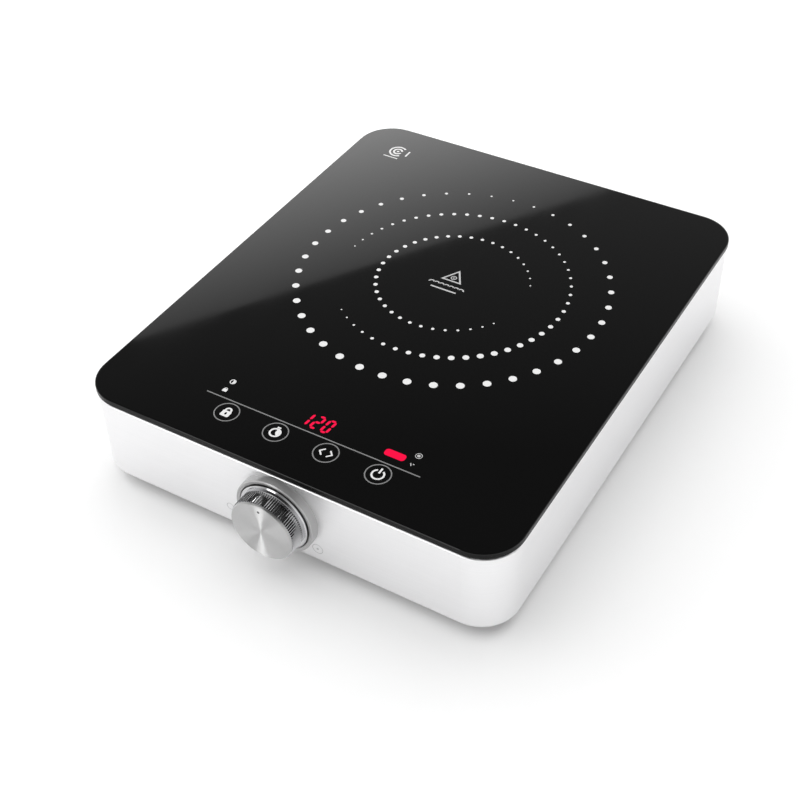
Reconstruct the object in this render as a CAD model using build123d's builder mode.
from build123d import *
import os
from math import sqrt

# Portable induction cooktop with one zone: a black glass plate bonded on a brushed steel band
# with its own rear panel, closed from below by a plastic pan, and a rotary knob in front.
# Millimetres, +Z up. The origin lies on the worktop, under the middle of the whole footprint,
# knob and cord gland included. +X is to the right, -Y is the front.
# Plan positions named _x and _y count from the middle of the case.

# ------------------------------------------------------------ driving dimensions

# glass plate
glass_width = 280.0
glass_depth = 340.0
glass_corner = 25.0
glass_thick = 4.0
glass_top_edge = 0.8
glass_low_edge = 0.5
glass_overhang = 0.7

# stack of heights, from the worktop upwards
foot_height = 5.0
base_thick = 2.5
housing_height = 57.0
seal_thick = 1.5

# steel band, folded inwards at top and bottom
steel = 0.8
top_round = 1.2
bottom_round = 4.0
top_flange = 14.0
bottom_flange = 18.0
window_corner = 6.0
seal_inset = 2.5
seal_width = 9.0

# rear panel, between the band's two rear corners, with its exhaust slots
panel_from_side = 27.0
panel_seam = 0.2
vent_count = 12
vent_pitch = 8.0
vent_width = 3.0
vent_height = 22.0
vent_x = -45.0
vent_z = 36.0

# base pan
base_inset = 5.5
base_edge = 0.8
rim_wall = 1.6
rim_height = 10.0
base_screw_inset = 13.0
base_screw_side_pitch = 200.0
base_screw_end_pitch = 140.0
base_screw_bite = 5.0
post_radius = 4.5
coil_post_pilot = 12.0
tray_post_pilot = 10.0
pilot_share = 0.8
intake_slots = 18
intake_slot_width = 3.0
intake_inner = 17.0
exhaust_slots = 9
exhaust_pitch = 7.0
exhaust_length = 22.0
exhaust_x = 60.0
exhaust_from_rear = 40.0

# feet
foot_radius = 11.0
foot_from_side = 35.0
foot_round = 1.2
foot_spigot_radius = 6.5
foot_spigot = 1.2
foot_recess = 3.0
foot_screw_bite = 4.5

# cooking zone, behind the middle of the plate
zone_y = 25.5

# touch keys and lamps, from the plate's front edge
key_pitch = 33.7
key_count = 4
key_from_front = 25.6
digit_from_front = 43.8
lamp_x = 51.0
lamp_from_front = 43.0
status_x = 62.8
status_from_front = 44.7
status_pitch = 7.8

# display, lamps, buzzer and key springs on the control board
digit_size = (26.0, 14.0, 7.0)
lamp_size = (15.0, 6.0, 7.0)
led_rim = 1.9
led_rim_height = 1.0
led_radius = 1.5
led_shoulder = 4.5
led_height = 6.0
buzzer_radius = 6.0
buzzer_height = 7.0
buzzer_port = 1.0
buzzer_port_depth = 2.0
key_spring_radius = 4.0
key_spring_wire = 0.6
key_spring_turns = 5
fine_edge = 0.4

# knob and encoder, on one axis through the front wall
knob_drop = 32.0
bezel_radius = 25.7
bezel_floor = 1.2
bezel_depth = 6.0
bezel_rim = 2.3
bezel_dish = 0.5
bezel_ease = 0.6
knob_flange = 0.8
knob_flange_back = 4.4
knob_flange_front = 7.0
knob_radius = 20.8
knob_wall = 2.3
knob_front = 17.2
knob_collar = 1.4
cap_radius = 20.1
cap_thick = 1.4
cap_ease = 0.4
rib_count = 90
rib_depth = 0.6
hub_radius = 6.0
shaft_radius = 3.0
shaft_flat = 1.5
shaft_front = 15.4
shaft_collar = 4.4
shaft_collar_thick = 1.6
bushing_radius = 4.5
bushing_front = 6.0
nut_across = 12.0
nut_thick = 2.0
washer_radius = 7.5
washer_thick = 0.5
encoder_side = 14.0
encoder_depth = 7.5
encoder_back = 1.6
encoder_corner = 1.0
encoder_board_width = 30.0
encoder_board_height = 24.0

# coil assembly
coil_inner = 24.0
coil_outer = 87.0
litz_wire = 4.5
litz_pitch = 4.2
former_margin = 5.0
former_thick = 3.0
lug_radius = 6.0
coil_screw_bite = 9.0
ferrite_inner = 28.0
ferrite_from_outer = 5.0
ferrite_width = 10.0
ferrite_thick = 5.0
ferrite_count = 6
former_slot_end = 7.0
former_slot_width = 14.0
mica_thick = 0.5
mica_margin = 3.0
mica_to_glass = 1.0

# spring-loaded glass sensor in the middle of the coil
sensor_radius = 8.0
sensor_flange = 0.9
sensor_skirt = 6.5
sensor_wall = 1.6
guide_wall = 2.6
guide_floor = 2.0
guide_below = 7.0
guide_above = 3.0
guide_wire_hole = 2.5
sensor_wire = 0.8
sensor_turns = 4
sensor_lift_gap = 0.05
sensor_edge = 0.5

# power board, to the right of the middle
board_thick = 1.6
standoff_height = 6.0
standoff_radius = 3.5
power_width = 106.0
power_depth = 210.0
power_x = 63.0
power_corner = 2.0
board_screw_inset = 5.0
board_screw_bite = 1.0

# heatsink over its two power devices
sink_length = 70.0
sink_width = 52.0
sink_base = 4.0
sink_leg = 3.0
sink_leg_height = 9.0
sink_fin = 1.4
sink_fin_height = 13.0
sink_fin_count = 9
sink_x = 53.0
sink_y = 68.0
device_thick = 5.0
device_leg = 1.0
device_toe = 4.0
device_depth = 20.0
device_screw_y = 5.0
igbt_width = 16.0
igbt_legs = (3, 5.45)
bridge_width = 30.0
bridge_legs = (4, 7.5)

# parts standing on the power board: (width, depth, height), and (x, y) from its middle
block_edge = 0.8
resonance_size = (32.0, 18.0, 22.0)
resonance_place = (-31.0, -40.0)
smoothing_size = (34.0, 20.0, 24.0)
smoothing_place = (7.0, -40.0)
filter_size = (12.0, 26.0, 18.0)
filter_place = (41.0, -38.0)
can_radius = 5.0
can_height = 16.0
can_groove = 0.4
can_groove_low = 1.6
can_groove_high = 3.0
can_edge = 0.6
can_pitch = 14.0
can_place = (0.0, -12.0)
supply_place = (-33.0, -10.0)
supply_width = 20.0
supply_foot = 3.0
supply_foot_depth = 18.0
supply_core_height = 11.0
supply_core_depth = 9.0
supply_winding = (12.0, 17.0, 3.0)
supply_head_depth = 16.0

# common-mode choke
choke_inner = 9.0
choke_outer = 16.0
choke_height = 12.0
choke_round = 1.0
choke_wire = 1.5
choke_gap = 0.2
choke_place = (25.0, -80.0)
loops_per_side = 9
loop_step = 16.0

# fuse in its two clips
fuse_radius = 2.6
fuse_cap = 2.75
fuse_length = 22.0
fuse_cap_length = 5.0
fuse_place = (41.0, 68.0)
fuse_lift = 5.0
clip_wall = 0.6
clip_width = 4.0

# varistor, standing on two legs
varistor_radius = 7.0
varistor_thick = 4.0
varistor_round = 1.2
varistor_lift = 2.5
varistor_leg = 0.5
varistor_place = (41.0, -8.0)

# coil terminals and the coil tails that reach them
terminal_place = (-31.0, -82.0)
terminal_pitch = 16.0
terminal_base = 5.0
terminal_base_thick = 2.0
terminal_post = 3.2
terminal_post_top = 6.5
terminal_tip = 2.4
terminal_height = 9.0
tail_radius = 1.75
tail_bite = 3.0
tail_bend = 8.0

# control board and its tray, under the front of the glass
control_width = 148.0
control_depth = 41.0
control_from_front = 37.5
control_to_glass = 8.4
tray_gap = 2.5
tray_wall = 2.0
tray_corner = 3.0
tray_height = 10.5
tray_screw_bite = 8.0
control_corner = 1.5
control_screw_bite = 1.0
peg_height = 2.0
peg_radius = 3.0
peg_inset = 4.0
tray_post_x = 60.0
tray_post_from_front = 33.0

# flat cables
ribbon_x = 34.0
ribbon_width = 16.0
ribbon_thick = 0.9
ribbon_straight = 8.0
ribbon_bend = 4.0
power_socket_inset = 7.0
socket_width = 20.0
socket_depth = 6.0
socket_height = 6.0
socket_edge = 0.5
lead_width = 10.0
lead_from_front = 20.0
lead_bend = 3.0

# cooling fan
fan_side = 80.0
fan_thick = 25.0
fan_corner = 5.0
fan_hole_pitch = 71.5
fan_bore = 38.0
fan_x = -55.0
fan_y = 78.0
fan_lift = 2.0
fan_mount = 2.5
fan_strut = 4.0
fan_cup = 18.0
fan_cup_wall = 1.5
fan_cup_top = 2.0
fan_cup_from_mount = 2.0
fan_cup_from_top = 2.5
fan_boss = 1.0
fan_shaft = 1.5
fan_shaft_low = 2.0
fan_bore_low = 1.0
fan_bearing = 4.0
blade_count = 7
blade_sweep = 18.0
blade_thick = 1.6
blade_gap = 1.5
blade_margin = 1.0
blade_overlap = 4.0
fan_socket_size = (6.0, 8.0, 6.0)
fan_socket_place = (-47.0, 28.0)
fan_lead_radius = 1.2
fan_lead_bend = 6.0
fan_lead_lift = 3.0

# cord gland, in the rear wall
gland_x = 100.0
gland_z = 24.0
gland_radius = 6.0
gland_bore = 3.6
gland_flange = 3.0
gland_flange_radius = 8.5
gland_flange_edge = 1.0
gland_inside = 12.0
gland_nut_thick = 4.0
gland_nut_across = 17.0

# screws: (head radius, head height, shank radius)
small_screw = (2.3, 1.3, 1.2)
medium_screw = (2.8, 1.8, 1.5)
large_screw = (3.7, 2.2, 1.9)

# clearances
slip = 0.3
snug = 0.02
running = 0.03
thread_gap = 0.05
board_gap = 1.0

# ------------------------------------------------------------ sizes that follow

housing_width = glass_width - 2 * glass_overhang
housing_depth = glass_depth - 2 * glass_overhang
housing_corner = glass_corner - glass_overhang
base_top = foot_height + base_thick
housing_top = base_top + housing_height
glass_bottom = housing_top + seal_thick
glass_top = glass_bottom + glass_thick
glass_front = -glass_depth / 2

knob_reach = knob_front + cap_thick
front_reach = housing_depth / 2 + knob_reach
rear_reach = max(glass_depth / 2, housing_depth / 2 + gland_flange)
case_y = (front_reach - rear_reach) / 2
knob_z = glass_top - knob_drop
front_y = case_y - housing_depth / 2
rear_y = case_y + housing_depth / 2

power_z = base_top + standoff_height
power_top = power_z + board_thick
control_top = glass_bottom - control_to_glass
control_bottom = control_top - board_thick
tray_top = control_bottom - peg_height
tray_bottom = tray_top - tray_wall
control_y = glass_front + control_from_front
key_y = glass_front + key_from_front
panel_width = housing_width - 2 * panel_from_side

mica_z = glass_bottom - mica_to_glass - mica_thick
litz_z = mica_z - litz_wire
former_z = litz_z - former_thick
ferrite_z = former_z - ferrite_thick
former_radius = coil_outer + former_margin
ferrite_length = coil_outer - ferrite_from_outer - ferrite_inner
former_slot_length = ferrite_length - 2 * former_slot_end
lug_distance = former_radius + lug_radius
guide_radius = sensor_radius + sensor_flange + slip
lug_places = [
    (lug_distance, zone_y),
    (-lug_distance, zone_y),
    (0, zone_y + lug_distance),
    (0, zone_y - lug_distance),
]
foot_pitch_x = glass_width - 2 * foot_from_side
foot_pitch_y = glass_depth - 2 * foot_from_side
fan_z = base_top + fan_lift
fan_top = fan_z + fan_thick
board_hole_pitch_x = power_width - 2 * board_screw_inset
board_hole_pitch_y = power_depth - 2 * board_screw_inset
tray_post_y = glass_front + tray_post_from_front
sink_z = power_top + sink_leg_height
device_z = sink_z - device_thick
bezel_bore = bezel_radius - bezel_rim
knob_flange_radius = bezel_bore - knob_flange
knob_cavity = knob_radius - knob_wall
hub_back = bushing_front + board_gap


# ------------------------------------------------------------ places and helpers


def level(height, x=0.0, y=0.0):
    """Horizontal plane at a height, its origin at x, y from the middle of the case."""
    return Plane((x, case_y + y, height))


def underside(height, x=0.0, y=0.0):
    """The same plane facing down."""
    return Plane((x, case_y + y, height), x_dir=(1, 0, 0), z_dir=(0, 0, -1))


def front(outward):
    """Upright plane around the knob's axis, outward from the front wall's face."""
    return Plane((0, front_y - outward, knob_z), x_dir=(1, 0, 0), z_dir=(0, -1, 0))


def rear(outward):
    """Upright plane around the gland's axis, outward from the rear wall's face."""
    return Plane((gland_x, rear_y + outward, gland_z), x_dir=(-1, 0, 0), z_dir=(0, 1, 0))


def on_board(place, lift=0.0):
    """Plane over the power board, at a place counted from the board's middle."""
    return level(power_top + lift, power_x + place[0], place[1])


def side_section(x):
    """Plane across the case: its first axis runs back, its second up."""
    return Plane((x, case_y, 0), x_dir=(0, 1, 0), z_dir=(1, 0, 0))


knob_section = Plane((0, front_y, knob_z), x_dir=(0, -1, 0), z_dir=(-1, 0, 0))
knob_axis = Axis((0, front_y, knob_z), (0, -1, 0))
gland_section = Plane((gland_x, rear_y, gland_z), x_dir=(0, 1, 0), z_dir=(1, 0, 0))
gland_axis = Axis((gland_x, rear_y, gland_z), (0, 1, 0))


def turned(points, plane, axis):
    """Solid of revolution from the corners of its half section."""
    with BuildPart() as body:
        with BuildSketch(plane):
            with BuildLine():
                Polyline(*points, close=True)
            make_face()
        revolve(axis=axis)
    return body.part


def screw(size, length):
    """Pan-head screw: head on the origin, shank down."""
    head, head_height, shank = size
    profile = [
        (0, -length),
        (shank * 0.5, -length),
        (shank, -length + shank),
        (shank, 0),
        (head, 0),
        (head, head_height * 0.5),
        (head * 0.7, head_height),
        (0, head_height),
    ]
    blank = turned(profile, Plane.XZ, Axis.Z)
    with BuildPart() as body:
        add(blank)
        with BuildSketch(Plane.XY.offset(head_height)):
            Rectangle(head * 1.1, head * 0.24)
            Rectangle(head * 0.24, head * 1.1)
        extrude(amount=-head_height * 0.5, mode=Mode.SUBTRACT)
    return body.part


def block(width, depth, height, edge):
    """Box standing on the origin, with its top and upright edges broken."""
    with BuildPart() as body:
        with BuildSketch():
            Rectangle(width, depth)
        extrude(amount=height)
        top_edges = body.faces().sort_by(Axis.Z)[-1].edges()
        chamfer(body.edges().filter_by(Axis.Z) + top_edges, edge)
    return body.part


def spring(radius, wire, height, turns):
    """Compression spring standing on the origin."""
    with BuildPart() as body:
        with BuildLine():
            centre_line = Helix(
                pitch=(height - wire) / turns,
                height=height - wire,
                radius=radius,
                center=(0, 0, wire / 2),
            )
        with BuildSketch(Plane(centre_line @ 0, z_dir=centre_line % 0)):
            Circle(wire / 2)
        sweep(path=centre_line, is_frenet=True)
    return body.part


def strip(x, points, width, thick, bend):
    """Flat cable bent in the side section through x, centred on its points."""
    with BuildPart() as body:
        with BuildLine(side_section(x)):
            route = FilletPolyline(*points, radius=bend)
        with BuildSketch(Plane(route @ 0, x_dir=(1, 0, 0), z_dir=route % 0)):
            Rectangle(width, thick)
        sweep(path=route)
    return body.part


def round_lead(points, radius, bend):
    """Insulated wire through its corner points, counted from the middle of the case."""
    with BuildPart() as body:
        with BuildLine(level(0)):
            route = FilletPolyline(*points, radius=bend)
        with BuildSketch(Plane(route @ 0, z_dir=route % 0)):
            Circle(radius)
        sweep(path=route)
    return body.part


def housing_form(inset):
    """Outer form of the steel band, shrunk by a wall's thickness."""
    with BuildPart() as form:
        with BuildSketch(level(base_top + inset)):
            RectangleRounded(
                housing_width - 2 * inset,
                housing_depth - 2 * inset,
                housing_corner - inset,
            )
        extrude(amount=housing_height - 2 * inset)
        fillet(form.faces().sort_by(Axis.Z)[-1].edges(), top_round - inset)
        fillet(form.faces().sort_by(Axis.Z)[0].edges(), bottom_round - inset)
    return form.part


def window(flange):
    """Opening left inside a folded flange, in the current sketch."""
    RectangleRounded(
        housing_width - 2 * flange,
        housing_depth - 2 * flange,
        max(housing_corner - flange, window_corner),
    )


# ------------------------------------------------------------ glass, seal, housing

with BuildPart() as glass_plate:
    with BuildSketch(level(glass_bottom)):
        RectangleRounded(glass_width, glass_depth, glass_corner)
    extrude(amount=glass_thick)
    fillet(glass_plate.faces().sort_by(Axis.Z)[-1].edges(), glass_top_edge)
    fillet(glass_plate.faces().sort_by(Axis.Z)[0].edges(), glass_low_edge)

with BuildPart() as glass_seal:
    with BuildSketch(level(housing_top)):
        RectangleRounded(
            housing_width - 2 * seal_inset,
            housing_depth - 2 * seal_inset,
            housing_corner - seal_inset,
        )
        RectangleRounded(
            housing_width - 2 * (seal_inset + seal_width),
            housing_depth - 2 * (seal_inset + seal_width),
            housing_corner - seal_inset - seal_width,
            mode=Mode.SUBTRACT,
        )
    extrude(amount=seal_thick)

outer_form = housing_form(0.0)
inner_form = housing_form(steel)


def end_screw_holes():
    """Holes for the base screws at the front and rear ends, in the current sketch."""
    with GridLocations(base_screw_end_pitch, housing_depth - 2 * base_screw_inset, 2, 2):
        Circle(medium_screw[2] + thread_gap)


def side_screw_holes():
    """Holes for the base screws along both sides, in the current sketch."""
    with GridLocations(housing_width - 2 * base_screw_inset, base_screw_side_pitch, 2, 2):
        Circle(medium_screw[2] + thread_gap)


with BuildPart() as folded_case:
    add(outer_form)
    add(inner_form, mode=Mode.SUBTRACT)
    with BuildSketch(level(housing_top)):
        window(top_flange)
    extrude(amount=-2 * steel, mode=Mode.SUBTRACT)
    with BuildSketch(level(base_top)):
        window(bottom_flange)
        end_screw_holes()
        side_screw_holes()
    extrude(amount=2 * steel, mode=Mode.SUBTRACT)

# the band runs along the front and both sides and turns round the rear corners
with BuildPart() as steel_housing:
    add(folded_case.part)
    with BuildSketch(level(base_top, y=housing_depth / 2)):
        Rectangle(panel_width + 2 * panel_seam, 2 * (bottom_flange + steel))
    extrude(amount=housing_height, mode=Mode.SUBTRACT)
    with BuildSketch(front(0)):
        Circle(bushing_radius + slip)
    extrude(amount=-2 * steel, mode=Mode.SUBTRACT)

# the rear panel fills the band's gap and has the same two flanges
with BuildPart() as rear_panel:
    add(folded_case.part)
    with BuildSketch(level(base_top, y=housing_depth / 2)):
        Rectangle(panel_width, 2 * (bottom_flange + steel))
    extrude(amount=housing_height, mode=Mode.INTERSECT)
    with BuildSketch(rear(0)):
        Circle(gland_radius + slip)
        with Locations((gland_x - vent_x, vent_z - gland_z)):
            with GridLocations(vent_pitch, 0, vent_count, 1):
                SlotOverall(vent_height, vent_width, rotation=90)
    extrude(amount=-2 * steel, mode=Mode.SUBTRACT)

# ------------------------------------------------------------ base pan, screws, feet

rim_width = housing_width - 2 * (bottom_flange + slip)
rim_depth = housing_depth - 2 * (bottom_flange + slip)
rim_corner = max(housing_corner - bottom_flange, window_corner) - slip

with BuildPart() as base_pan:
    with BuildSketch(level(foot_height)):
        RectangleRounded(
            housing_width - 2 * base_inset,
            housing_depth - 2 * base_inset,
            housing_corner - base_inset,
        )
    extrude(amount=base_thick)
    chamfer(base_pan.faces().sort_by(Axis.Z)[0].edges(), base_edge)
    with BuildSketch(level(base_top)):
        RectangleRounded(rim_width, rim_depth, rim_corner)
        RectangleRounded(
            rim_width - 2 * rim_wall,
            rim_depth - 2 * rim_wall,
            rim_corner - rim_wall,
            mode=Mode.SUBTRACT,
        )
    extrude(amount=rim_height)
    # posts: coil, control tray, power board, fan, feet
    with BuildSketch(level(base_top)):
        with Locations(*lug_places):
            Circle(post_radius)
    extrude(amount=former_z - base_top)
    with BuildSketch(level(base_top, y=tray_post_y)):
        with GridLocations(2 * tray_post_x, 0, 2, 1):
            Circle(post_radius)
    extrude(amount=tray_bottom - base_top)
    with BuildSketch(level(base_top, power_x)):
        with GridLocations(board_hole_pitch_x, board_hole_pitch_y, 2, 2):
            Circle(standoff_radius)
    extrude(amount=standoff_height)
    with BuildSketch(level(base_top, fan_x, fan_y)):
        with GridLocations(fan_hole_pitch, fan_hole_pitch, 2, 2):
            Circle(post_radius)
    extrude(amount=fan_lift)
    with BuildSketch(level(base_top)):
        with GridLocations(foot_pitch_x, foot_pitch_y, 2, 2):
            Circle(post_radius)
    extrude(amount=standoff_height)
    # pilot holes, each from the seat that its screw is driven from
    with BuildSketch(level(former_z)):
        with Locations(*lug_places):
            Circle(large_screw[2] + thread_gap)
    extrude(amount=-coil_post_pilot, mode=Mode.SUBTRACT)
    with BuildSketch(level(tray_bottom, y=tray_post_y)):
        with GridLocations(2 * tray_post_x, 0, 2, 1):
            Circle(medium_screw[2] + thread_gap)
    extrude(amount=-tray_post_pilot, mode=Mode.SUBTRACT)
    with BuildSketch(level(power_z, power_x)):
        with GridLocations(board_hole_pitch_x, board_hole_pitch_y, 2, 2):
            Circle(medium_screw[2] + thread_gap)
    extrude(amount=-standoff_height - base_thick / 2, mode=Mode.SUBTRACT)
    with BuildSketch(level(fan_z, fan_x, fan_y)):
        with GridLocations(fan_hole_pitch, fan_hole_pitch, 2, 2):
            Circle(large_screw[2] + thread_gap)
    extrude(amount=-fan_lift - base_thick * pilot_share, mode=Mode.SUBTRACT)
    with BuildSketch(level(foot_height)):
        with GridLocations(foot_pitch_x, foot_pitch_y, 2, 2):
            Circle(large_screw[2] + thread_gap)
        end_screw_holes()
        side_screw_holes()
    extrude(amount=base_thick + standoff_height, mode=Mode.SUBTRACT)
    with BuildSketch(level(foot_height)):
        with GridLocations(foot_pitch_x, foot_pitch_y, 2, 2):
            Circle(foot_spigot_radius + slip)
    extrude(amount=foot_spigot, mode=Mode.SUBTRACT)
    # air intake under the fan, and exhaust slots behind the power board
    with BuildSketch(level(foot_height, fan_x, fan_y)):
        with PolarLocations((intake_inner + fan_bore) / 2, intake_slots):
            SlotOverall(fan_bore - intake_inner, intake_slot_width)
    extrude(amount=base_thick, mode=Mode.SUBTRACT)
    with BuildSketch(level(foot_height, exhaust_x, glass_depth / 2 - exhaust_from_rear)):
        with GridLocations(exhaust_pitch, 0, exhaust_slots, 1):
            SlotOverall(exhaust_length, intake_slot_width, rotation=90)
    extrude(amount=base_thick, mode=Mode.SUBTRACT)

base_screw_form = screw(medium_screw, base_thick + base_screw_bite)
with BuildPart() as base_screws:
    with Locations(underside(foot_height)):
        with GridLocations(
            housing_width - 2 * base_screw_inset, base_screw_side_pitch, 2, 2
        ):
            add(base_screw_form)
        with GridLocations(
            base_screw_end_pitch, housing_depth - 2 * base_screw_inset, 2, 2
        ):
            add(base_screw_form)

foot_profile = [
    (large_screw[2] + thread_gap, foot_recess),
    (large_screw[0] + slip, foot_recess),
    (large_screw[0] + slip, 0),
    (foot_radius - foot_round, 0),
    (foot_radius, foot_round),
    (foot_radius, foot_height),
    (foot_spigot_radius, foot_height),
    (foot_spigot_radius, foot_height + foot_spigot),
    (large_screw[2] + thread_gap, foot_height + foot_spigot),
]
foot_form = turned(foot_profile, Plane.XZ, Axis.Z)
with BuildPart() as rubber_feet:
    with Locations(level(0)):
        with GridLocations(foot_pitch_x, foot_pitch_y, 2, 2):
            add(foot_form)

foot_grip = foot_height - foot_recess + base_thick
foot_screw_form = screw(large_screw, foot_grip + foot_screw_bite)
with BuildPart() as foot_screws:
    with Locations(underside(foot_recess)):
        with GridLocations(foot_pitch_x, foot_pitch_y, 2, 2):
            add(foot_screw_form)

# ------------------------------------------------------------ cord gland

gland_profile = [
    (gland_flange, gland_bore),
    (gland_flange, gland_flange_radius - gland_flange_edge),
    (gland_flange - gland_flange_edge, gland_flange_radius),
    (0, gland_flange_radius),
    (0, gland_radius),
    (-steel - gland_inside, gland_radius),
    (-steel - gland_inside, gland_bore),
]
gland_form = turned(gland_profile, gland_section, gland_axis)
with BuildPart() as cord_gland:
    add(gland_form)

with BuildPart() as gland_nut:
    with BuildSketch(rear(-steel)):
        RegularPolygon(gland_nut_across / 2, 6, major_radius=False)
        Circle(gland_radius + snug, mode=Mode.SUBTRACT)
    extrude(amount=-gland_nut_thick)

# ------------------------------------------------------------ knob and encoder

bezel_profile = [
    (0, bushing_radius + slip),
    (bezel_floor, bushing_radius + slip),
    (bezel_floor, bezel_bore),
    (bezel_depth - bezel_dish, bezel_bore),
    (bezel_depth, bezel_radius - bezel_ease),
    (bezel_depth - bezel_ease, bezel_radius),
    (0, bezel_radius),
]
bezel_form = turned(bezel_profile, knob_section, knob_axis)
with BuildPart() as knob_bezel:
    add(bezel_form)


def shaft_hole(gap):
    """Round shaft section with one flat, grown by a gap, in the current sketch."""
    Circle(shaft_radius + gap)
    with Locations((0, 2 * shaft_radius - shaft_flat + gap)):
        Rectangle(3 * shaft_radius, 2 * shaft_radius, mode=Mode.SUBTRACT)


knob_profile = [
    (knob_flange_back, knob_cavity),
    (knob_flange_back, knob_flange_radius - bezel_ease),
    (knob_flange_back + bezel_ease, knob_flange_radius),
    (knob_flange_front - bezel_ease, knob_flange_radius),
    (knob_flange_front, knob_flange_radius - bezel_ease),
    (knob_flange_front, knob_radius),
    (knob_front, knob_radius),
    (knob_front, 0),
    (hub_back, 0),
    (hub_back, hub_radius),
    (knob_front - knob_wall, hub_radius),
    (knob_front - knob_wall, knob_cavity),
]
knob_form = turned(knob_profile, knob_section, knob_axis)
with BuildPart() as knob_body:
    add(knob_form)
    with BuildSketch(front(knob_front)):
        with PolarLocations(knob_radius, rib_count):
            RegularPolygon(rib_depth, 4)
    extrude(amount=knob_flange_front + knob_collar - knob_front, mode=Mode.SUBTRACT)
    with BuildSketch(front(hub_back)):
        shaft_hole(snug)
    extrude(amount=shaft_front + slip - hub_back, mode=Mode.SUBTRACT)

cap_profile = [
    (knob_front, 0),
    (knob_front, cap_radius),
    (knob_front + cap_thick - cap_ease, cap_radius),
    (knob_front + cap_thick, cap_radius - cap_ease),
    (knob_front + cap_thick, 0),
]
cap_form = turned(cap_profile, knob_section, knob_axis)
with BuildPart() as knob_cap:
    add(cap_form)

collar_back = -steel - encoder_depth + encoder_back
collar_front = collar_back + shaft_collar_thick
with BuildPart() as encoder_shaft:
    with BuildSketch(front(collar_back)):
        Circle(shaft_collar)
    extrude(amount=shaft_collar_thick)
    with BuildSketch(front(collar_front)):
        Circle(shaft_radius)
    extrude(amount=bushing_front - collar_front)
    with BuildSketch(front(bushing_front)):
        shaft_hole(0.0)
    extrude(amount=shaft_front - bushing_front)

with BuildPart() as encoder_body:
    with BuildSketch(front(-steel)):
        RectangleRounded(encoder_side, encoder_side, encoder_corner)
    extrude(amount=-encoder_depth)
    with BuildSketch(front(-steel)):
        Circle(bushing_radius)
    extrude(amount=steel + bushing_front)
    with BuildSketch(front(bushing_front)):
        Circle(shaft_radius + running)
    extrude(amount=collar_front - bushing_front, mode=Mode.SUBTRACT)
    with BuildSketch(front(collar_front + slip)):
        Circle(shaft_collar + slip)
    extrude(amount=-shaft_collar_thick - 2 * slip, mode=Mode.SUBTRACT)

with BuildPart() as encoder_washer:
    with BuildSketch(front(bezel_floor)):
        Circle(washer_radius)
        Circle(bushing_radius + snug, mode=Mode.SUBTRACT)
    extrude(amount=washer_thick)

with BuildPart() as encoder_nut:
    with BuildSketch(front(bezel_floor + washer_thick)):
        RegularPolygon(nut_across / 2, 6, major_radius=False)
        Circle(bushing_radius + snug, mode=Mode.SUBTRACT)
    extrude(amount=nut_thick)

encoder_board_front = -steel - encoder_depth
with BuildPart() as encoder_board:
    with BuildSketch(front(encoder_board_front)):
        Rectangle(encoder_board_width, encoder_board_height)
    extrude(amount=-board_thick)

lead_y = glass_front + lead_from_front
encoder_board_y = -housing_depth / 2 - encoder_board_front + board_thick
lead_z = knob_z + encoder_board_height / 4
encoder_lead_form = strip(
    0,
    [(encoder_board_y, lead_z), (lead_y, lead_z), (lead_y, control_bottom)],
    lead_width,
    ribbon_thick,
    lead_bend,
)
with BuildPart() as encoder_lead:
    add(encoder_lead_form)

# ------------------------------------------------------------ control board under the keys

tray_width = control_width + 2 * (tray_gap + tray_wall)
tray_depth = control_depth + 2 * (tray_gap + tray_wall)
peg_pitch_x = control_width - 2 * peg_inset
peg_pitch_y = control_depth - 2 * peg_inset
control_socket_y = control_y + control_depth / 2 - socket_depth / 2 - board_gap

with BuildPart() as control_tray:
    with BuildSketch(level(tray_bottom, y=control_y)):
        RectangleRounded(tray_width, tray_depth, tray_corner)
    extrude(amount=tray_height)
    with BuildSketch(level(tray_top, y=control_y)):
        Rectangle(tray_width - 2 * tray_wall, tray_depth - 2 * tray_wall)
    extrude(amount=tray_height, mode=Mode.SUBTRACT)
    with BuildSketch(level(tray_top, y=control_y)):
        with GridLocations(peg_pitch_x, peg_pitch_y, 2, 2):
            Circle(peg_radius)
    extrude(amount=peg_height)
    with BuildSketch(level(control_bottom, y=control_y)):
        with GridLocations(peg_pitch_x, peg_pitch_y, 2, 2):
            Circle(small_screw[2] + thread_gap)
    extrude(amount=-peg_height - tray_wall * pilot_share, mode=Mode.SUBTRACT)
    with BuildSketch(level(tray_bottom)):
        with Locations((tray_post_x, tray_post_y), (-tray_post_x, tray_post_y)):
            Circle(medium_screw[2] + thread_gap)
        with Locations((ribbon_x, control_socket_y)):
            Rectangle(socket_width + 2 * board_gap, socket_depth + 2 * board_gap)
        with Locations((0, lead_y)):
            Rectangle(lead_width + 2 * board_gap, ribbon_thick + 2 * board_gap)
    extrude(amount=tray_wall, mode=Mode.SUBTRACT)

tray_screw_form = screw(medium_screw, tray_wall + tray_screw_bite)
with BuildPart() as tray_screws:
    with Locations(level(tray_top, y=tray_post_y)):
        with GridLocations(2 * tray_post_x, 0, 2, 1):
            add(tray_screw_form)

with BuildPart() as control_board:
    with BuildSketch(level(control_bottom, y=control_y)):
        RectangleRounded(control_width, control_depth, control_corner)
        with GridLocations(peg_pitch_x, peg_pitch_y, 2, 2):
            Circle(small_screw[2] + thread_gap, mode=Mode.SUBTRACT)
    extrude(amount=board_thick)

control_screw_form = screw(small_screw, board_thick + peg_height + control_screw_bite)
with BuildPart() as control_screws:
    with Locations(level(control_top, y=control_y)):
        with GridLocations(peg_pitch_x, peg_pitch_y, 2, 2):
            add(control_screw_form)

key_spring_form = spring(
    key_spring_radius, key_spring_wire, control_to_glass, key_spring_turns
)
with BuildPart() as touch_springs:
    with Locations(level(control_top, y=key_y)):
        with GridLocations(key_pitch, 0, key_count, 1):
            add(key_spring_form)

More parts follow.
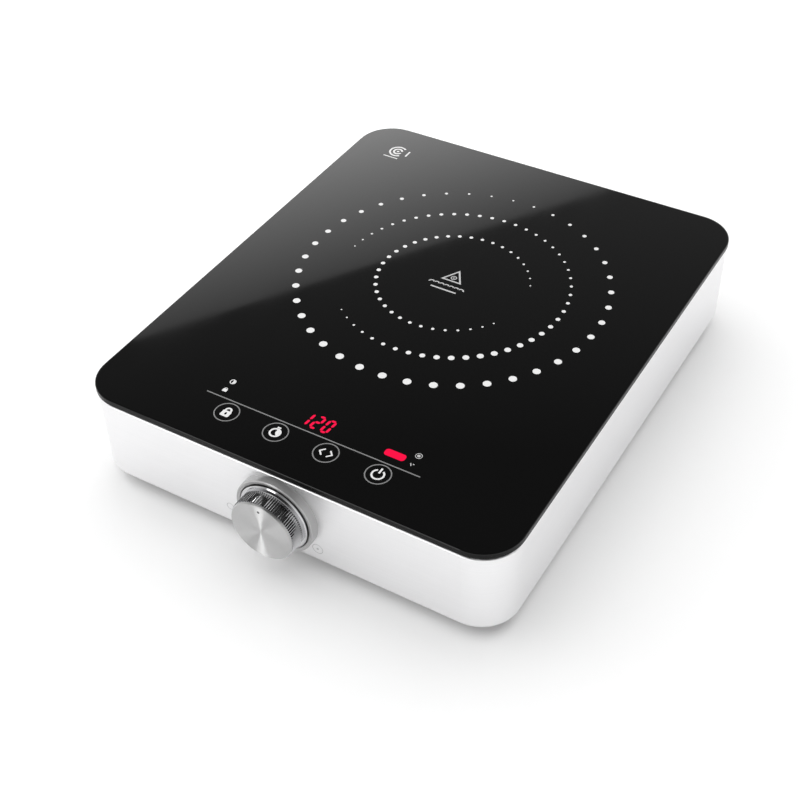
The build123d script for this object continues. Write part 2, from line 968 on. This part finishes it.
digit_form = block(*digit_size, fine_edge)
with BuildPart() as digit_display:
    with Locations(level(control_top, y=glass_front + digit_from_front)):
        add(digit_form)

lamp_form = block(*lamp_size, fine_edge)
with BuildPart() as power_lamp:
    with Locations(level(control_top, lamp_x, glass_front + lamp_from_front)):
        add(lamp_form)

led_profile = [
    (0, 0),
    (led_rim, 0),
    (led_rim, led_rim_height),
    (led_radius, led_rim_height),
    (led_radius, led_shoulder),
    (led_radius / 2, led_height),
    (0, led_height),
]
led_form = turned(led_profile, Plane.XZ, Axis.Z)
with BuildPart() as status_leds:
    with Locations(level(control_top, y=glass_front + status_from_front)):
        with GridLocations(2 * status_x, status_pitch, 2, 2):
            add(led_form)

buzzer_profile = [
    (buzzer_port, buzzer_height - buzzer_port_depth),
    (0, buzzer_height - buzzer_port_depth),
    (0, 0),
    (buzzer_radius, 0),
    (buzzer_radius, buzzer_height - fine_edge),
    (buzzer_radius - fine_edge, buzzer_height),
    (buzzer_port, buzzer_height),
]
buzzer_form = turned(buzzer_profile, Plane.XZ, Axis.Z)
with BuildPart() as buzzer:
    with Locations(level(control_top, -ribbon_x, control_y)):
        add(buzzer_form)

# one socket hangs under the control board, the other stands at the power board's front edge
power_socket_y = -power_depth / 2 + power_socket_inset
socket_form = block(socket_width, socket_depth, socket_height, socket_edge)
with BuildPart() as ribbon_sockets:
    with Locations(underside(control_bottom, ribbon_x, control_socket_y)):
        add(socket_form)
    with Locations(level(power_top, ribbon_x, power_socket_y)):
        add(socket_form)

ribbon_top = control_bottom - socket_height
ribbon_end = power_top + socket_height
ribbon_form = strip(
    ribbon_x,
    [
        (control_socket_y, ribbon_top),
        (control_socket_y, ribbon_top - ribbon_straight),
        (power_socket_y, ribbon_end + ribbon_straight),
        (power_socket_y, ribbon_end),
    ],
    ribbon_width,
    ribbon_thick,
    ribbon_bend,
)
with BuildPart() as ribbon_cable:
    add(ribbon_form)

# ------------------------------------------------------------ coil and glass sensor

with BuildPart() as coil_former:
    with BuildSketch(level(former_z)):
        with Locations(*lug_places):
            Circle(lug_radius)
    extrude(amount=former_thick)
    with BuildSketch(level(former_z, y=zone_y)):
        Circle(former_radius)
        with Locations((lug_distance / 2, 0), (-lug_distance / 2, 0)):
            Rectangle(lug_distance, 2 * lug_radius)
        with Locations((0, lug_distance / 2), (0, -lug_distance / 2)):
            Rectangle(2 * lug_radius, lug_distance)
        with PolarLocations(ferrite_inner + ferrite_length / 2, ferrite_count):
            SlotOverall(former_slot_length, former_slot_width, mode=Mode.SUBTRACT)
    extrude(amount=former_thick)
    with BuildSketch(level(former_z - guide_below, y=zone_y)):
        Circle(guide_radius + guide_wall)
    extrude(amount=guide_below + former_thick + guide_above)
    with BuildSketch(level(former_z - guide_below + guide_floor, y=zone_y)):
        Circle(guide_radius)
    extrude(amount=guide_below + former_thick + guide_above, mode=Mode.SUBTRACT)
    with BuildSketch(level(former_z - guide_below, y=zone_y)):
        Circle(guide_wire_hole)
    extrude(amount=guide_floor, mode=Mode.SUBTRACT)
    with BuildSketch(level(former_z)):
        with Locations(*lug_places):
            Circle(large_screw[2] + thread_gap)
    extrude(amount=former_thick, mode=Mode.SUBTRACT)

coil_screw_form = screw(large_screw, former_thick + coil_screw_bite)
with BuildPart() as coil_screws:
    with Locations(level(former_z + former_thick)):
        with Locations(*lug_places):
            add(coil_screw_form)

with BuildPart() as ferrite_bars:
    with BuildSketch(level(ferrite_z, y=zone_y)):
        with PolarLocations(
            ferrite_inner + ferrite_length / 2, ferrite_count, start_angle=180 / ferrite_count
        ):
            Rectangle(ferrite_length, ferrite_width)
    extrude(amount=ferrite_thick)

# the turns lie side by side and are bonded together, so they overlap a little
turn_count = int((coil_outer - coil_inner - litz_wire) / litz_pitch) + 1
turn_places = [
    (coil_outer - litz_wire / 2 - turn * litz_pitch, litz_z + litz_wire / 2)
    for turn in range(turn_count)
]
zone_section = Plane((0, case_y + zone_y, 0), x_dir=(1, 0, 0), z_dir=(0, -1, 0))
zone_axis = Axis((0, case_y + zone_y, 0), (0, 0, 1))
with BuildPart() as litz_coil:
    with BuildSketch(zone_section):
        with Locations(*turn_places):
            Circle(litz_wire / 2)
    revolve(axis=zone_axis)

with BuildPart() as mica_sheet:
    with BuildSketch(level(mica_z, y=zone_y)):
        Circle(coil_outer + mica_margin)
        Circle(guide_radius + guide_wall + slip, mode=Mode.SUBTRACT)
    extrude(amount=mica_thick)

sensor_top = glass_bottom - sensor_lift_gap
sensor_low = sensor_top - sensor_skirt
sensor_profile = [
    (0, sensor_top),
    (sensor_radius - sensor_edge, sensor_top),
    (sensor_radius, sensor_top - sensor_edge),
    (sensor_radius, sensor_low + sensor_wall),
    (sensor_radius + sensor_flange, sensor_low + sensor_wall),
    (sensor_radius + sensor_flange, sensor_low),
    (sensor_radius - sensor_wall, sensor_low),
    (sensor_radius - sensor_wall, sensor_top - sensor_wall),
    (0, sensor_top - sensor_wall),
]
sensor_form = turned(sensor_profile, zone_section, zone_axis)
with BuildPart() as sensor_plunger:
    add(sensor_form)

spring_seat = former_z - guide_below + guide_floor
sensor_spring_form = spring(
    sensor_radius - sensor_wire, sensor_wire, sensor_low - spring_seat, sensor_turns
)
with BuildPart() as sensor_spring:
    with Locations(level(spring_seat, y=zone_y)):
        add(sensor_spring_form)

# ------------------------------------------------------------ power board

with BuildPart() as power_board:
    with BuildSketch(level(power_z, power_x)):
        RectangleRounded(power_width, power_depth, power_corner)
        with GridLocations(board_hole_pitch_x, board_hole_pitch_y, 2, 2):
            Circle(medium_screw[2] + thread_gap, mode=Mode.SUBTRACT)
        with Locations((lug_distance - power_x, zone_y)):
            Circle(post_radius + board_gap, mode=Mode.SUBTRACT)
    extrude(amount=board_thick)

board_screw_form = screw(medium_screw, board_thick + standoff_height + board_screw_bite)
with BuildPart() as board_screws:
    with Locations(level(power_top, power_x)):
        with GridLocations(board_hole_pitch_x, board_hole_pitch_y, 2, 2):
            add(board_screw_form)

fin_pitch = (sink_width - sink_fin) / (sink_fin_count - 1)

# heatsink standing on two long legs, fins up, with the air running along X
with BuildPart() as heatsink:
    with BuildSketch(side_section(sink_x - sink_length / 2)):
        with Locations((sink_y, sink_z + sink_base / 2)):
            Rectangle(sink_width, sink_base)
        with Locations((sink_y, sink_z - sink_leg_height / 2)):
            with GridLocations(sink_width - sink_leg, 0, 2, 1):
                Rectangle(sink_leg, sink_leg_height)
        with Locations((sink_y, sink_z + sink_base + sink_fin_height / 2)):
            with GridLocations(fin_pitch, 0, sink_fin_count, 1):
                Rectangle(sink_fin, sink_fin_height)
    extrude(amount=sink_length)
    with BuildSketch(level(sink_z, sink_x, sink_y + device_screw_y)):
        with GridLocations(sink_length / 2, 0, 2, 1):
            Circle(medium_screw[2] + thread_gap)
    extrude(amount=sink_base * pilot_share, mode=Mode.SUBTRACT)


def power_device(width, legs):
    """Flat package under the heatsink, standing over the board on its bent legs."""
    leg_count, leg_pitch = legs
    drop = sink_leg_height - device_thick
    knee = drop + device_thick / 2
    heel = -device_depth / 2 + device_leg
    toe = -device_depth / 2 - device_toe
    leg_side = [
        (heel, knee + device_leg / 2),
        (toe - device_leg / 2, knee + device_leg / 2),
        (toe - device_leg / 2, 0),
        (toe + device_leg / 2, 0),
        (toe + device_leg / 2, knee - device_leg / 2),
        (heel, knee - device_leg / 2),
    ]
    with BuildPart() as body:
        with BuildSketch(Plane.XY.offset(drop)):
            Rectangle(width, device_depth)
            with Locations((0, device_screw_y)):
                Circle(medium_screw[2] + thread_gap, mode=Mode.SUBTRACT)
        extrude(amount=device_thick)
        for leg in range(leg_count):
            leg_x = (leg - (leg_count - 1) / 2) * leg_pitch
            with BuildSketch(Plane.YZ.offset(leg_x)):
                with BuildLine():
                    Polyline(*leg_side, close=True)
                make_face()
            extrude(amount=device_leg / 2, both=True)
    return body.part


igbt_form = power_device(igbt_width, igbt_legs)
with BuildPart() as igbt:
    with Locations(level(power_top, sink_x - sink_length / 4, sink_y)):
        add(igbt_form)

bridge_form = power_device(bridge_width, bridge_legs)
with BuildPart() as bridge_rectifier:
    with Locations(level(power_top, sink_x + sink_length / 4, sink_y)):
        add(bridge_form)

device_screw_form = screw(medium_screw, device_thick + sink_base / 2)
with BuildPart() as device_screws:
    with Locations(underside(device_z, sink_x, sink_y + device_screw_y)):
        with GridLocations(sink_length / 2, 0, 2, 1):
            add(device_screw_form)

resonance_form = block(*resonance_size, block_edge)
with BuildPart() as resonance_capacitor:
    with Locations(on_board(resonance_place)):
        add(resonance_form)

smoothing_form = block(*smoothing_size, block_edge)
with BuildPart() as smoothing_capacitor:
    with Locations(on_board(smoothing_place)):
        add(smoothing_form)

filter_form = block(*filter_size, block_edge)
with BuildPart() as filter_capacitor:
    with Locations(on_board(filter_place)):
        add(filter_form)

can_profile = [
    (0, 0),
    (can_radius, 0),
    (can_radius, can_groove_low),
    (can_radius - can_groove, can_groove_low + can_groove),
    (can_radius - can_groove, can_groove_high - can_groove),
    (can_radius, can_groove_high),
    (can_radius, can_height - can_edge),
    (can_radius - can_edge, can_height),
    (0, can_height),
]
can_form = turned(can_profile, Plane.XZ, Axis.Z)
with BuildPart() as electrolytic_capacitors:
    with Locations(on_board(can_place)):
        with GridLocations(can_pitch, 0, 2, 1):
            add(can_form)

with BuildPart() as supply_transformer:
    with BuildSketch(on_board(supply_place)):
        Rectangle(supply_width, supply_foot_depth)
    extrude(amount=supply_foot)
    with BuildSketch(on_board(supply_place, supply_foot)):
        Rectangle(supply_width, supply_core_depth)
        RectangleRounded(*supply_winding)
    extrude(amount=supply_core_height)
    with BuildSketch(on_board(supply_place, supply_foot + supply_core_height)):
        Rectangle(supply_width, supply_head_depth)
    extrude(amount=supply_foot)

# a coated ring core with two separate windings of loops round it
choke_plane = on_board(choke_place, choke_wire + choke_gap + board_gap)
with BuildPart() as choke_core:
    with BuildSketch(choke_plane):
        Circle(choke_outer)
        Circle(choke_inner, mode=Mode.SUBTRACT)
    extrude(amount=choke_height)
    fillet(choke_core.edges().filter_by(GeomType.CIRCLE), choke_round)

ring_width = choke_outer - choke_inner + 2 * choke_gap
ring_height = choke_height + 2 * choke_gap
with BuildPart() as wire_loop:
    with BuildSketch(Plane.XZ.offset(-choke_wire / 2)):
        with Locations(((choke_inner + choke_outer) / 2, choke_height / 2)):
            RectangleRounded(ring_width + 2 * choke_wire, ring_height + 2 * choke_wire, choke_wire)
            Rectangle(ring_width, ring_height, mode=Mode.SUBTRACT)
    extrude(amount=choke_wire)

half_sweep = loop_step * (loops_per_side - 1) / 2
with BuildPart() as choke_winding:
    with Locations(choke_plane):
        for first_angle in (-half_sweep, 180 - half_sweep):
            with PolarLocations(
                0, loops_per_side, start_angle=first_angle, angular_range=loop_step * loops_per_side
            ):
                add(wire_loop.part)

fuse_x = power_x + fuse_place[0]
fuse_y = fuse_place[1]
fuse_z = power_top + fuse_lift
fuse_section = Plane((fuse_x, case_y + fuse_y, fuse_z), x_dir=(0, 1, 0), z_dir=(1, 0, 0))
fuse_axis = Axis((fuse_x, case_y + fuse_y, fuse_z), (0, 1, 0))
fuse_profile = [
    (-fuse_length / 2, 0),
    (-fuse_length / 2, fuse_cap),
    (-fuse_length / 2 + fuse_cap_length, fuse_cap),
    (-fuse_length / 2 + fuse_cap_length, fuse_radius),
    (fuse_length / 2 - fuse_cap_length, fuse_radius),
    (fuse_length / 2 - fuse_cap_length, fuse_cap),
    (fuse_length / 2, fuse_cap),
    (fuse_length / 2, 0),
]
fuse_form = turned(fuse_profile, fuse_section, fuse_axis)
with BuildPart() as fuse:
    add(fuse_form)

clip_pitch = fuse_length - fuse_cap_length
clip_planes = [
    Plane(
        (fuse_x, case_y + fuse_y + side * clip_pitch / 2 + clip_width / 2, 0),
        x_dir=(1, 0, 0),
        z_dir=(0, -1, 0),
    )
    for side in (-1, 1)
]
with BuildPart() as fuse_clips:
    for clip_plane in clip_planes:
        with BuildSketch(clip_plane):
            with Locations((0, fuse_z)):
                Circle(fuse_cap + snug + clip_wall)
            with Locations((0, (power_top + fuse_z - fuse_cap) / 2)):
                Rectangle(clip_width, fuse_z - fuse_cap - power_top)
            with Locations((0, fuse_z)):
                Circle(fuse_cap + snug, mode=Mode.SUBTRACT)
            with Locations((0, fuse_z + fuse_cap)):
                Rectangle(clip_width, 2 * fuse_cap, mode=Mode.SUBTRACT)
        extrude(amount=clip_width)

with BuildPart() as varistor:
    with BuildSketch(side_section(power_x + varistor_place[0] - varistor_thick / 2)):
        with Locations((varistor_place[1], power_top + varistor_lift + varistor_radius)):
            Circle(varistor_radius)
    extrude(amount=varistor_thick)
    fillet(varistor.edges().filter_by(GeomType.CIRCLE), varistor_round)
    with BuildSketch(on_board(varistor_place)):
        with GridLocations(0, varistor_radius, 1, 2):
            Circle(varistor_leg)
    extrude(amount=varistor_lift + varistor_radius / 2)

terminal_x = power_x + terminal_place[0]
terminal_y = terminal_place[1]
terminal_profile = [
    (0, 0),
    (terminal_base, 0),
    (terminal_base, terminal_base_thick),
    (terminal_post, terminal_base_thick),
    (terminal_post, terminal_post_top),
    (terminal_tip, terminal_post_top),
    (terminal_tip, terminal_height),
    (0, terminal_height),
]
terminal_form = turned(terminal_profile, Plane.XZ, Axis.Z)
with BuildPart() as coil_terminals:
    with Locations(on_board(terminal_place)):
        with GridLocations(terminal_pitch, 0, 2, 1):
            add(terminal_form)

# both coil tails leave the outer turn forwards and bend down to their terminals
tail_forms = [
    round_lead(
        [
            (x, zone_y - sqrt(coil_outer**2 - x**2) + tail_bite, litz_z + litz_wire / 2),
            (x, terminal_y, litz_z + litz_wire / 2),
            (x, terminal_y, power_top + terminal_height),
        ],
        tail_radius,
        tail_bend,
    )
    for x in (terminal_x - terminal_pitch / 2, terminal_x + terminal_pitch / 2)
]
with BuildPart() as coil_tails:
    for tail_form in tail_forms:
        add(tail_form)

# ------------------------------------------------------------ cooling fan

cup_low = fan_z + fan_mount + fan_cup_from_mount
cup_top = fan_top - fan_cup_from_top
bearing_top = cup_top - fan_cup_top - board_gap

with BuildPart() as fan_frame:
    with BuildSketch(level(fan_z, fan_x, fan_y)):
        RectangleRounded(fan_side, fan_side, fan_corner)
        Circle(fan_bore, mode=Mode.SUBTRACT)
        with GridLocations(fan_hole_pitch, fan_hole_pitch, 2, 2):
            Circle(large_screw[2] + slip, mode=Mode.SUBTRACT)
    extrude(amount=fan_thick)
    with BuildSketch(level(fan_z, fan_x, fan_y)):
        Circle(fan_cup - fan_boss)
        Rectangle(2 * fan_bore + fan_boss, fan_strut)
        Rectangle(fan_strut, 2 * fan_bore + fan_boss)
    extrude(amount=fan_mount)
    with BuildSketch(level(fan_z, fan_x, fan_y)):
        Circle(fan_bearing)
    extrude(amount=bearing_top - fan_z)
    with BuildSketch(level(fan_z + fan_bore_low, fan_x, fan_y)):
        Circle(fan_shaft + running)
    extrude(amount=fan_thick, mode=Mode.SUBTRACT)

blade_height = cup_top - cup_low - 2 * blade_margin
blade_root = fan_cup - blade_overlap
blade_side = [
    (-blade_sweep / 2, 0),
    (-blade_sweep / 2 + 2 * blade_thick, 0),
    (blade_sweep / 2, blade_height),
    (blade_sweep / 2 - 2 * blade_thick, blade_height),
]
with BuildPart() as blade:
    with BuildSketch(Plane((blade_root, 0, 0), x_dir=(0, 1, 0), z_dir=(1, 0, 0))):
        with BuildLine():
            Polyline(*blade_side, close=True)
        make_face()
    extrude(amount=fan_bore)

with BuildPart() as fan_rotor:
    with Locations(level(cup_low + blade_margin, fan_x, fan_y)):
        with PolarLocations(0, blade_count):
            add(blade.part)
    with BuildSketch(level(cup_low, fan_x, fan_y)):
        Circle(fan_bore - blade_gap)
    extrude(amount=cup_top - cup_low, mode=Mode.INTERSECT)
    with BuildSketch(level(cup_low, fan_x, fan_y)):
        Circle(fan_cup)
    extrude(amount=cup_top - cup_low)
    with BuildSketch(level(cup_low, fan_x, fan_y)):
        Circle(fan_cup - fan_cup_wall)
    extrude(amount=cup_top - cup_low - fan_cup_top, mode=Mode.SUBTRACT)
    with BuildSketch(level(fan_z + fan_shaft_low, fan_x, fan_y)):
        Circle(fan_shaft)
    extrude(amount=cup_top - fan_z - fan_shaft_low)

fan_screw_form = screw(large_screw, fan_thick + fan_lift + base_thick / 2)
with BuildPart() as fan_screws:
    with Locations(level(fan_top, fan_x, fan_y)):
        with GridLocations(fan_hole_pitch, fan_hole_pitch, 2, 2):
            add(fan_screw_form)

fan_socket_form = block(*fan_socket_size, fine_edge)
with BuildPart() as fan_socket:
    with Locations(on_board(fan_socket_place)):
        add(fan_socket_form)

fan_socket_x = power_x + fan_socket_place[0]
fan_socket_y = fan_socket_place[1]
fan_lead_z = power_top + fan_lead_lift
fan_lead_x = (fan_x + fan_side / 2 + fan_socket_x) / 2
fan_lead_y = fan_y - fan_side / 4
fan_lead_form = round_lead(
    [
        (fan_x + fan_side / 2, fan_lead_y, fan_lead_z),
        (fan_lead_x, fan_lead_y, fan_lead_z),
        (fan_lead_x, fan_socket_y, fan_lead_z),
        (fan_socket_x - fan_socket_size[0] / 2, fan_socket_y, fan_lead_z),
    ],
    fan_lead_radius,
    fan_lead_bend,
)
with BuildPart() as fan_lead:
    add(fan_lead_form)

# ------------------------------------------------------------ labels and files

pieces = {
    "glass_plate": glass_plate,
    "glass_seal": glass_seal,
    "steel_housing": steel_housing,
    "rear_panel": rear_panel,
    "base_pan": base_pan,
    "base_screws": base_screws,
    "rubber_feet": rubber_feet,
    "foot_screws": foot_screws,
    "cord_gland": cord_gland,
    "gland_nut": gland_nut,
    "knob_bezel": knob_bezel,
    "knob_body": knob_body,
    "knob_cap": knob_cap,
    "encoder_shaft": encoder_shaft,
    "encoder_body": encoder_body,
    "encoder_washer": encoder_washer,
    "encoder_nut": encoder_nut,
    "encoder_board": encoder_board,
    "encoder_lead": encoder_lead,
    "control_tray": control_tray,
    "tray_screws": tray_screws,
    "control_board": control_board,
    "control_screws": control_screws,
    "touch_springs": touch_springs,
    "digit_display": digit_display,
    "power_lamp": power_lamp,
    "status_leds": status_leds,
    "buzzer": buzzer,
    "ribbon_sockets": ribbon_sockets,
    "ribbon_cable": ribbon_cable,
    "coil_former": coil_former,
    "coil_screws": coil_screws,
    "ferrite_bars": ferrite_bars,
    "litz_coil": litz_coil,
    "coil_tails": coil_tails,
    "mica_sheet": mica_sheet,
    "sensor_plunger": sensor_plunger,
    "sensor_spring": sensor_spring,
    "power_board": power_board,
    "board_screws": board_screws,
    "heatsink": heatsink,
    "igbt": igbt,
    "bridge_rectifier": bridge_rectifier,
    "device_screws": device_screws,
    "resonance_capacitor": resonance_capacitor,
    "smoothing_capacitor": smoothing_capacitor,
    "filter_capacitor": filter_capacitor,
    "electrolytic_capacitors": electrolytic_capacitors,
    "supply_transformer": supply_transformer,
    "choke_core": choke_core,
    "choke_winding": choke_winding,
    "fuse": fuse,
    "fuse_clips": fuse_clips,
    "varistor": varistor,
    "coil_terminals": coil_terminals,
    "fan_frame": fan_frame,
    "fan_rotor": fan_rotor,
    "fan_screws": fan_screws,
    "fan_socket": fan_socket,
    "fan_lead": fan_lead,
}

os.makedirs("parts", exist_ok=True)
for name, piece in pieces.items():
    piece.part.label = name
    export_step(piece.part, f"parts/{name}.step")
